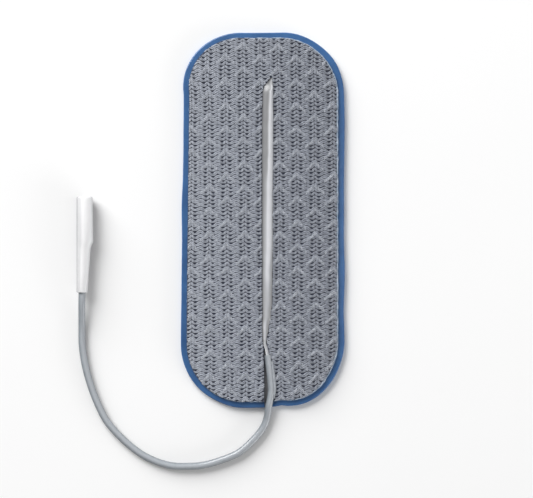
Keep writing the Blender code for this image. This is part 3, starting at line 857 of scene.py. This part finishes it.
# The crest attribute holds the paleness, with painted light and painted shade on the slopes and feet.
crest_paleness_and_painted_light = bm.verts.layers.float.new("crest")
chain = [bm.verts.new() for _ in bead_profile(bead_start)]
line = [bm.edges.new(pair) for pair in zip(chain, chain[1:])]
for step in range(BEAD_STEPS + 1):
    y = bead_start + (bead_end - bead_start) * step / BEAD_STEPS
    if step:
        grown = bmesh.ops.extrude_edge_only(bm, edges=line)["geom"]
        line = [item for item in grown if isinstance(item, bmesh.types.BMEdge) and item.is_boundary]
        fresh = [item for item in grown if isinstance(item, bmesh.types.BMVert)]
        chain = sorted(fresh, key=lambda vert: vert.co.x)
        line = [edge for edge in line if set(edge.verts) <= set(chain)]
    for vert, (x, z, paleness_and_painted_light) in zip(chain, bead_profile(y)):
        lump = noise.noise(Vector((x, y, z)) * BEAD_LUMP_SCALE) * BEAD_LUMP
        vert.co = (x + lump, y, z + lump)
        vert[crest_paleness_and_painted_light] = paleness_and_painted_light
bmesh.ops.holes_fill(bm, edges=[edge for edge in bm.edges if edge.is_boundary], sides=0)
bmesh.ops.recalc_face_normals(bm, faces=bm.faces[:])

pale_seal_with_light_and_shade, shader = paint("pale sealing bead", 0.36)
streaks = grain(pale_seal_with_light_and_shade, 500.0, 4.0, (1.0, 0.2, 1.0))
# The dark stops are painted shade at the feet and on the left slope; the pale ones are the conductor
# under the crest and painted light down the right slope.
tint(
    pale_seal_with_light_and_shade, painted(pale_seal_with_light_and_shade, "crest", streaks, BEAD_CLOUD),
    [
        (0.06, (0.12, 0.122, 0.128)),
        (0.36, (0.29, 0.293, 0.30)),
        (0.75, (0.44, 0.45, 0.47)),
        (1.0, (0.64, 0.65, 0.68)),
    ],
)
emboss(pale_seal_with_light_and_shade, grain(pale_seal_with_light_and_shade, 1400.0, 3.0, (1.0, 0.3, 1.0)), 0.00004, 0.5)
coat(shader, 0.15, 0.2)
bead = link_mesh("bead", bm, pale_seal_with_light_and_shade, BEAD_SHARP_ANGLE)
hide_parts("seal_bead")
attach(bead, BODY)
print(f"bead: {len(bead.data.polygons)} faces, crest at most {bead_high.z * TO_MM:.2f} mm up")

# %% [markdown]
# A little of the same sealant was run along the lead's right side, where it comes out of the cloth. It
# sets as a low fillet that thins out at both ends, so it is a tube whose radius grows and shrinks along
# its path, half sunk between the lead and the cloth.

# %% Fillet beside the lead
FILLET_START = -0.0338
FILLET_END = -0.0428
FILLET_POINTS = 24
FILLET_RADIUS = 0.00034
FILLET_OUT = 0.00004
FILLET_THIN = 0.3
FILLET_SWELL = 0.6

beside_path, beside_radii = [], []
for index in range(FILLET_POINTS + 1):
    share = index / FILLET_POINTS
    y = FILLET_START + (FILLET_END - FILLET_START) * share
    x = lead_at(y).x + LEAD_RADIUS + FILLET_OUT
    beside_path.append(Vector((x, y, cloth_high.z - FILLET_RADIUS / 2)))
    swell = math.sin(math.pi * share) ** FILLET_SWELL
    beside_radii.append(FILLET_THIN + (1.0 - FILLET_THIN) * swell)
fillet = as_mesh(tube("lead_fillet", [beside_path], FILLET_RADIUS, sides=3, radii=[beside_radii]))
grey_seal, _ = paint("grey sealant", 0.4)
tint(grey_seal, grain(grey_seal, 900.0), [(0.3, (0.26, 0.28, 0.31)), (0.7, (0.40, 0.42, 0.45))])
emboss(grey_seal, grain(grey_seal, 2200.0), 0.00004, 0.5)
fillet.data.materials.append(grey_seal)
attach(fillet, BODY)
print(f"fillet: {len(fillet.data.polygons)} faces")

# %% [markdown]
# Between the bead and the cut end of the insulation the conductor lies bare: a bundle of fine tinned
# strands, laid round one another. Six of them are helices round the conductor's path and the seventh is
# the path itself. All share one object.

# %% Bare strands
STRAND_COUNT = 7
STRAND_RADIUS = 0.00018
BUNDLE_RADIUS = 0.00027
STRAND_PITCH = 0.0042
STRAND_POINTS = 90
STRAND_STOPS = [
    (0.00030, -0.02560), (0.00022, -0.02760), (0.00024, -0.02870), (0.00046, -0.02985),
    (0.00084, -0.03095), (0.00116, -0.03250),
]
strand_stops = [Vector((x, y, lead_height)) for x, y in STRAND_STOPS]
strand_path = smooth_route(strand_stops, STRAND_POINTS)
strand_run = run_length(strand_path)
strands = []
for strand in range(STRAND_COUNT):
    helix = []
    for index, point in enumerate(strand_path):
        ahead = strand_path[min(index + 1, STRAND_POINTS - 1)]
        behind = strand_path[max(index - 1, 0)]
        along = (ahead - behind).normalized()
        across = along.cross(Vector((0.0, 0.0, 1.0))).normalized()
        turn = math.tau * (strand_run * index / (STRAND_POINTS - 1) / STRAND_PITCH)
        angle = turn + math.tau * strand / (STRAND_COUNT - 1)
        reach = 0.0 if strand == STRAND_COUNT - 1 else BUNDLE_RADIUS
        offset = across * math.cos(angle) + Vector((0.0, 0.0, 1.0)) * math.sin(angle)
        helix.append(point + offset * reach)
    strands.append(helix)
bare = as_mesh(tube("bare_strands", strands, STRAND_RADIUS, sides=1))
coated, _ = paint("coated strands", 0.3, 0.25)
tint(coated, grain(coated, 2500.0), [(0.3, (0.54, 0.55, 0.57)), (0.7, (0.70, 0.71, 0.73))])
bare.data.materials.append(coated)
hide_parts("bare_conductor")
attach(bare, BODY)
print(f"bare strands: {len(bare.data.polygons)} faces")

# %% [markdown]
# The cloth is a knit, so it is made as one: a dark base sheet that closes it from behind, and on it
# every course as a pair of waving yarns. Before the yarns comes the cut: an outline with round corners,
# and the slit that bead and lead lie in. Both are formulas, so that any point of yarn can ask whether it
# lies on the cloth, and how far the cloth lifts there.

# %% The cloth's cut
SLIT_TOP = 0.0342
SLIT_MARGIN = -0.00006
RIGHT_LAP = 0.00026
LEAD_SLIT_LEFT = 0.00034
LEAD_SLIT_START = -0.0312
LEAD_SLIT_EASE = 0.003
WAVE_SCALE = 140.0
WAVE_HEIGHT = 0.00006
LIFT_REACH = 0.0022
LIFT_HEIGHT = 0.00012


def slit_edges(y):
    """(left, right) edge of the slit at this y, or None above its closed end."""
    if y > SLIT_TOP:
        return None
    centre, half = at_station(y)[:2]
    left, right = centre - half - SLIT_MARGIN, centre + half - RIGHT_LAP
    opening = max(0.0, min(1.0, (LEAD_SLIT_START + LEAD_SLIT_EASE - y) / (2 * LEAD_SLIT_EASE)))
    beside_lead = lead_at(y).x + LEAD_RADIUS
    left += (LEAD_SLIT_LEFT - left) * opening
    right += (beside_lead - right) * opening
    return left, right


def on_cloth(point, inset):
    """True where the cloth is, this far in from its outline and from the slit."""
    away = Vector((point.x - cloth_middle.x, point.y - cloth_middle.y, 0.0))
    if outward(away, cloth_size, cloth_corner)[1] > -inset:
        return False
    slit = slit_edges(point.y)
    return slit is None or point.x < slit[0] - inset or point.x > slit[1] + inset


def cloth_rise(point):
    """How far the cloth lifts off the gel here: waves all over, and a lift beside the strip."""
    waves = noise.noise(Vector((point.x, point.y, 0.0)) * WAVE_SCALE) * WAVE_HEIGHT
    centre = at_station(min(point.y, bead_start))[0]
    beside = math.exp(-((point.x - centre) / LIFT_REACH) ** 2)
    return waves + LIFT_HEIGHT * beside * (1.0 if point.y < bead_start + LIFT_REACH else 0.0)


print("slit edges halfway:", [round(edge * TO_MM, 2) for edge in slit_edges(0.0)], "mm")

# %% [markdown]
# The base cloth is the dark side of the knit that shows through its eyes; its dark colour is partly its
# own and partly painted shade in the eyes. Its flat face is cut by a grid of lines, so that it can wave
# and stretch with the yarns. A cutter shaped like the slit is carved out of it.

# %% Base cloth
BASE_GAP = 0.00003
BASE_THICKNESS = 0.00042
BASE_LINES = 0.0022
BASE_SHARP_ANGLE = 50.0
SLIT_RUN = 60
PAST_EDGE = 0.002
TINY = 1e-5


def slot_cutter(name, edges, start, end, low, high):
    """A closed block between two side lines, given as (left x, right x) for each y."""
    block = bmesh.new()
    lefts, rights = [], []
    for index in range(SLIT_RUN + 1):
        y = start + (end - start) * index / SLIT_RUN
        left, right = edges(y)
        lefts.append(block.verts.new((left, y, low)))
        rights.append(block.verts.new((right, y, low)))
    block.faces.new(lefts + rights[::-1])
    raise_sheet(block, high - low)
    return link_mesh(name, block, None)


under_cloth = Vector((cloth_middle.x, cloth_middle.y, gel_high.z + BASE_GAP))
bm = rounded_sheet(cloth_size, cloth_corner, under_cloth)
raise_sheet(bm, BASE_THICKNESS)
for normal, start, end in (
    (Vector((1.0, 0.0, 0.0)), cloth_low.x, cloth_high.x),
    (Vector((0.0, 1.0, 0.0)), cloth_low.y, cloth_high.y),
):
    for index in range(1, int((end - start) / BASE_LINES)):
        everything = bm.verts[:] + bm.edges[:] + bm.faces[:]
        on_line = normal * (start + index * BASE_LINES)
        bmesh.ops.bisect_plane(bm, geom=everything, plane_co=on_line, plane_no=normal)
base_shade, _ = paint("shaded backing", 0.85)
tint(base_shade, grain(base_shade, 2600.0), [(0.3, (0.045, 0.050, 0.075)), (0.7, (0.085, 0.095, 0.130))])
emboss(base_shade, grain(base_shade, 5200.0), 0.00005)
base = link_mesh("base_cloth", bm, base_shade, BASE_SHARP_ANGLE)
past_edge = cloth_low.y - PAST_EDGE
carve(base, slot_cutter("slit", slit_edges, SLIT_TOP - TINY, past_edge, 0.0, 2 * cloth_high.z))
for vert in base.data.vertices:
    vert.co.z += cloth_rise(vert.co)
stretch(base)
base.data.shade_smooth()
base.data.set_sharp_from_angle(angle=math.radians(BASE_SHARP_ANGLE))
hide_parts("knit_backing")
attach(base, BODY)
print(f"base cloth: {len(base.data.polygons)} faces")

# %% [markdown]
# Left of the lead the slit stays open and the gel is cut back under it, so a dark gap shows beside the
# cord. The same kind of cutter takes the gel away there. What it lays bare is coloured grey as painted
# shade, so that no blue shows in that gap.

# %% Gap beside the lead
GEL_UNDER_GAP = 0.00095

beside = slot_cutter(
    "gel cut", lambda y: (slit_edges(y)[0], lead_at(y).x), LEAD_SLIT_START, past_edge - PAST_EDGE,
    GEL_UNDER_GAP, 2 * gel_high.z,
)
carve(gel, beside)
painted_gap_shade, _ = paint("painted gap shade", 0.7)
tint(painted_gap_shade, grain(painted_gap_shade, 3000.0), [(0.3, (0.29, 0.295, 0.31)), (0.7, (0.38, 0.385, 0.40))])
gel.data.materials.append(painted_gap_shade)
# Faces inside the gap get the painted shade.
lined = 0
for face in gel.data.polygons:
    x, y, z = face.center
    in_gap = y < LEAD_SLIT_START and slit_edges(y)[0] - TINY <= x <= lead_at(y).x
    below_top = GEL_UNDER_GAP - TINY < z < gel_high.z - TINY and y > gel_low.y + border
    if in_gap and below_top:
        face.material_index = len(gel.data.materials) - 1
        lined += 1
print(f"the gap beside the lead is lined on {lined} faces")

# %% [markdown]
# Each course of the knit is a pair of yarns that wave across the cloth together. Two waves go to one
# scale: between their troughs and the next course a flat dark eye stays open on each side of a scale's
# middle, and a smaller one, half a course higher, in the middle itself. The flanks of the waves touch,
# as stitches do. Along a scale's outline the yarns are thicker, which closes the eyes there and draws
# the scales. Noise pulls every stitch a little out of line, because a knit is never regular.

# %% How the knit is laid out
SCALE_PITCH_X = 0.00419
SCALE_PITCH_Y = 0.0056
SCALE_SHIFT = Vector((-0.00014, -0.00045, 0.0))
COURSES_IN_SCALE = 6
WALES_IN_SCALE = 2
WALE_POINTS = 10
WALE_DRAW = 0.00018
STITCH_RISE = 0.00027
FLAT_TROUGH = 0.2
STITCH_DEPTH = 0.00003
YARN_RADIUS = 0.00015
PAIR_APART = 0.00027
EYE_YARN = 0.84
FLANK_THICKEN = 0.40
MIDDLE_THICKEN = 0.22
MIDDLE_HALF = 0.0007
BAND_THICKEN = 0.60
BAND_HALF = 0.00075
SIDE_DENSE = 0.00100
SIDE_STEEP = 1.3
ARM_SLOPE = 0.9
ARM_STEEP = 1.5
UNEVEN = 0.34
UNEVEN_SCALE = 900.0
KNIT_LEAN = 0.009
KNIT_LEVEL = -0.0073
PULL = 0.00022
PULL_SCALE = 95.0
FINE_PULL = 0.00020
FINE_PULL_SCALE = 520.0
YARN_Z = 0.00178
YARN_LIGHT_LEAN = -0.26
CUT_INSET = 0.0001

course_height = SCALE_PITCH_Y / COURSES_IN_SCALE
wale = SCALE_PITCH_X / WALES_IN_SCALE


def yarn_swell(x, y, turn):
    """How thick the yarn is here: thin round the eyes, thick where the knit is closed."""
    column = round((x - SCALE_SHIFT.x) / SCALE_PITCH_X)
    across = abs(x - SCALE_SHIFT.x - column * SCALE_PITCH_X)
    stagger = SCALE_PITCH_Y / 2 if column % 2 else 0.0
    along = (y - SCALE_SHIFT.y + stagger + across * ARM_SLOPE) % SCALE_PITCH_Y
    off_arm = min(along, SCALE_PITCH_Y - along)
    off_side = SCALE_PITCH_X / 2 - across
    arm = max(0.0, min(1.0, ARM_STEEP * (1.0 - off_arm / BAND_HALF)))
    side = max(0.0, min(1.0, SIDE_STEEP * (1.0 - off_side / SIDE_DENSE)))
    middle = max(0.0, 1.0 - across / MIDDLE_HALF)
    closed = max(BAND_THICKEN * max(arm, side), MIDDLE_THICKEN * middle)
    uneven = UNEVEN * noise.noise(Vector((x, y, 0.0)) * UNEVEN_SCALE)
    return EYE_YARN + FLANK_THICKEN * math.sin(turn) ** 4 + closed + uneven


def pulled(x, y):
    """Where a stitch really lies: the cloth is a little out of true everywhere."""
    x -= KNIT_LEAN * (y - KNIT_LEVEL)
    drift = noise.noise_vector(Vector((x, y, 0.0)) * PULL_SCALE) * PULL
    drift += noise.noise_vector(Vector((x, y, 0.0)) * FINE_PULL_SCALE) * FINE_PULL
    return Vector((x + drift.x, y + drift.y, 0.0))


def course_points(y_course, side):
    """One yarn of a course's pair, as (point, thickness) across the whole cloth."""
    made = []
    wales = WALES_IN_SCALE * (math.ceil(cloth_size.x / 2 / SCALE_PITCH_X) + 1)
    for step in range(-wales * WALE_POINTS, wales * WALE_POINTS + 1):
        turn = math.tau * step / WALE_POINTS
        along = wale * step / WALE_POINTS
        x = SCALE_SHIFT.x + along - WALE_DRAW * math.sin(math.tau * along / SCALE_PITCH_X)
        y = y_course + STITCH_RISE * (math.cos(turn) + FLAT_TROUGH * math.cos(2 * turn))
        swell = yarn_swell(x, y, turn)
        point = pulled(x, y + side * PAIR_APART / 2 * swell)
        point.z = YARN_Z - STITCH_DEPTH * math.cos(2 * turn) + cloth_rise(point)
        made.append((point, swell))
    return made


courses = math.ceil(cloth_size.y / 2 / course_height) + 1
print(f"up to {2 * courses + 1} courses, each {course_height * TO_MM:.2f} mm high")

# %% [markdown]
# Each yarn is followed across the cloth and broken where the outline or the slit cuts it. The runs on
# either side of the slit make one piece each, which keeps both small enough. The yarn is a mix of
# silvered and dark fibre, painted a little lighter to the left as painted light.

# %% Stitches
SHORTEST_RUN = 3
YARN_SHEEN = 0.3

runs = {"left": [], "right": []}
for strand in range(-2 * courses, 2 * courses + 2):
    run, side = [], None
    y_course = SCALE_SHIFT.y + strand // 2 * course_height
    for point, thickness in course_points(y_course, strand % 2 * 2 - 1):
        where = "left" if point.x < at_station(min(point.y, bead_start))[0] else "right"
        if not on_cloth(point, CUT_INSET) or where != side:
            if len(run) > SHORTEST_RUN:
                runs[side].append(run)
            run = run[-1:] if run and on_cloth(point, CUT_INSET) else []
            side = where
        if on_cloth(point, CUT_INSET):
            run.append((point, thickness))
    if len(run) > SHORTEST_RUN:
        runs[side].append(run)

grey_yarn_with_painted_light, shader = paint("silvered grey yarn with painted light", 0.55)
# Painted light: the yarn lightens towards the left side of the pad.
fibre_mix_and_painted_light = leaning(grey_yarn_with_painted_light, grain(grey_yarn_with_painted_light, 1500.0, 4.0), YARN_LIGHT_LEAN)
tint(grey_yarn_with_painted_light, fibre_mix_and_painted_light, [(0.28, (0.16, 0.174, 0.21)), (0.72, (0.35, 0.375, 0.43))])
emboss(grey_yarn_with_painted_light, grain(grey_yarn_with_painted_light, 9000.0, 2.0), 0.00003, 0.6)
shader.inputs["Sheen Weight"].default_value = YARN_SHEEN
for side, found in runs.items():
    paths = [[point for point, _ in run] for run in found]
    widths = [[thickness for _, thickness in run] for run in found]
    knit = as_mesh(tube(f"stitches_{side}", paths, YARN_RADIUS, sides=1, radii=widths))
    stretch(knit)
    knit.data.materials.append(grey_yarn_with_painted_light)
    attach(knit, BODY)
    print(f"{knit.name}: {len(found)} yarns, {len(knit.data.polygons)} faces")

# %% [markdown]
# The scales show best where each one is closed by a pair of pale yarns, which run up to its point and
# down again. They are laid on top of the courses in a fine zigzag, as a warp yarn is, and sink a little
# at both ends.

# %% Yarns that draw the scales
SCALE_YARN_RADIUS = 0.00013
SCALE_YARN_STEPS = 22
SCALE_YARN_SWING = 0.00012
SCALE_YARN_LIFT = 0.00013
SCALE_YARN_APART = 0.00036
SCALE_YARN_WAVES = 6.5
ARM_REACH = 0.00205
ARM_SINK = 0.4
ARM_SINK_POWER = 8

arches = []
columns = math.ceil(cloth_size.x / 2 / SCALE_PITCH_X) + 1
rows = math.ceil(cloth_size.y / 2 / SCALE_PITCH_Y) + 1
for column in range(-columns, columns + 1):
    for row in range(-rows, rows + 1):
        peak_x = SCALE_SHIFT.x + column * SCALE_PITCH_X
        peak_y = SCALE_SHIFT.y + row * SCALE_PITCH_Y - (SCALE_PITCH_Y / 2 if column % 2 else 0.0)
        for shift in (-SCALE_YARN_APART / 2, SCALE_YARN_APART / 2):
            arch = []
            for step in range(SCALE_YARN_STEPS + 1):
                share = 2.0 * step / SCALE_YARN_STEPS - 1.0
                wave = SCALE_YARN_SWING * math.sin(math.tau * SCALE_YARN_WAVES * share)
                x = peak_x + ARM_REACH * share
                y = peak_y - ARM_SLOPE * ARM_REACH * abs(share) + shift + wave
                point = pulled(x, y)
                lift = SCALE_YARN_LIFT * (1.0 - ARM_SINK * share ** ARM_SINK_POWER)
                point.z = YARN_Z + lift + cloth_rise(point)
                if on_cloth(point, CUT_INSET):
                    arch.append(point)
                    continue
                if len(arch) > SHORTEST_RUN:
                    arches.append(arch)
                arch = []
            if len(arch) > SHORTEST_RUN:
                arches.append(arch)

light_yarn, shader = paint("light scale yarn", 0.5)
tint(light_yarn, grain(light_yarn, 1100.0, 4.0), [(0.3, (0.27, 0.29, 0.33)), (0.7, (0.46, 0.485, 0.54))])
emboss(light_yarn, grain(light_yarn, 9000.0, 2.0), 0.00003, 0.6)
shader.inputs["Sheen Weight"].default_value = YARN_SHEEN
scale_yarns = as_mesh(tube("scale_yarns", arches, SCALE_YARN_RADIUS, sides=1))
stretch(scale_yarns)
scale_yarns.data.materials.append(light_yarn)
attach(scale_yarns, BODY)
print(f"scale yarns: {len(arches)} arches, {len(scale_yarns.data.polygons)} faces")

# %% [markdown]
# Where the cloth was die-cut, the sheared yarn ends fluff out and catch the light as a thin pale line.
# That line is made as one uneven pale cord of fibre, so the light it catches is a painted highlight in
# its colour and width. It follows the outline from one side of the slit to the other, thin on the left
# and thick on the right, where the line shows brightest.

# %% Cut edge
RIM_POINTS = 900
RIM_RADIUS = 0.00015
RIM_Z = 0.00164
RIM_INSET = 0.00006
RIM_FLUFF = 0.00008
RIM_FLUFF_SCALE = 2200.0
RIM_WIDTH = 0.62
RIM_HIGHLIGHT_GAIN = 1.5
RIM_LEAST = 0.1
RIM_UNEVEN = 0.6
RIM_UNEVEN_SCALE = 900.0


def outline_point(share):
    """A point on the cloth's outline; share 0 and 1 are the middle of its near end."""
    half_x, half_y, corner = cloth_size.x / 2 - RIM_INSET, cloth_size.y / 2 - RIM_INSET, cloth_corner
    arc = math.pi / 2 * corner
    legs = [
        (half_x - corner, "line", (0.0, -half_y), (1.0, 0.0)),
        (arc, "arc", (half_x - corner, corner - half_y), -math.pi / 2),
        (2 * (half_y - corner), "line", (half_x, corner - half_y), (0.0, 1.0)),
        (arc, "arc", (half_x - corner, half_y - corner), 0.0),
        (2 * (half_x - corner), "line", (half_x - corner, half_y), (-1.0, 0.0)),
        (arc, "arc", (corner - half_x, half_y - corner), math.pi / 2),
        (2 * (half_y - corner), "line", (-half_x, half_y - corner), (0.0, -1.0)),
        (arc, "arc", (corner - half_x, corner - half_y), math.pi),
        (half_x - corner, "line", (corner - half_x, -half_y), (1.0, 0.0)),
    ]
    left = share * sum(leg[0] for leg in legs)
    for length, kind, place, aim in legs:
        if left <= length or (length, kind, place, aim) == legs[-1]:
            break
        left -= length
    if kind == "line":
        return Vector((place[0] + aim[0] * left, place[1] + aim[1] * left, 0.0))
    angle = aim + left / corner
    return Vector((place[0] + corner * math.cos(angle), place[1] + corner * math.sin(angle), 0.0))


rim_runs, rim_widths, run, widths = [], [], [], []
for index in range(RIM_POINTS + 1):
    point = outline_point(index / RIM_POINTS)
    point += Vector((cloth_middle.x, cloth_middle.y, 0.0))
    fluff = noise.noise_vector(Vector((point.x, point.y, 0.0)) * RIM_FLUFF_SCALE) * RIM_FLUFF
    slit = slit_edges(point.y)
    in_slit = slit is not None and slit[0] < point.x < slit[1]
    if in_slit:
        if len(run) > SHORTEST_RUN:
            rim_runs.append(run)
            rim_widths.append(widths)
        run, widths = [], []
        continue
    run.append(Vector((point.x + fluff.x, point.y + fluff.y, RIM_Z + cloth_rise(point) + fluff.z)))
    # Painted highlight: the pale cord grows thicker to the right, where the line shows brightest.
    uneven = RIM_UNEVEN * noise.noise(point * RIM_UNEVEN_SCALE)
    widths.append(max(RIM_LEAST, RIM_WIDTH + RIM_HIGHLIGHT_GAIN * point.x / pad_size.x + uneven))
rim_runs.append(run)
rim_widths.append(widths)
rim = as_mesh(tube("cut_edge", rim_runs, RIM_RADIUS, sides=1, radii=rim_widths))
stretch(rim)
cut_fibre_and_highlight, _ = paint("cut fibre and painted highlight", 0.7)
tint(cut_fibre_and_highlight, grain(cut_fibre_and_highlight, 700.0, 4.0), [(0.3, (0.22, 0.30, 0.40)), (0.75, (0.54, 0.60, 0.68))])
rim.data.materials.append(cut_fibre_and_highlight)
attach(rim, BODY)
print(f"cut edge: {len(rim.data.polygons)} faces")

# %% [markdown]
# The cloth is one soft sheet. Its flat size is that of the solid it stands for, and its area leaves out
# the corners and the slit.

cloth_area = cloth_size.x * cloth_size.y - (4.0 - math.pi) * cloth_corner ** 2
slit_run = SLIT_TOP - cloth_low.y
slit_width = slit_edges(0.0)[1] - slit_edges(0.0)[0]
cloth_area -= slit_run * slit_width
print(f"the cloth is cut from {cloth_area * 1e6:.0f} square mm")
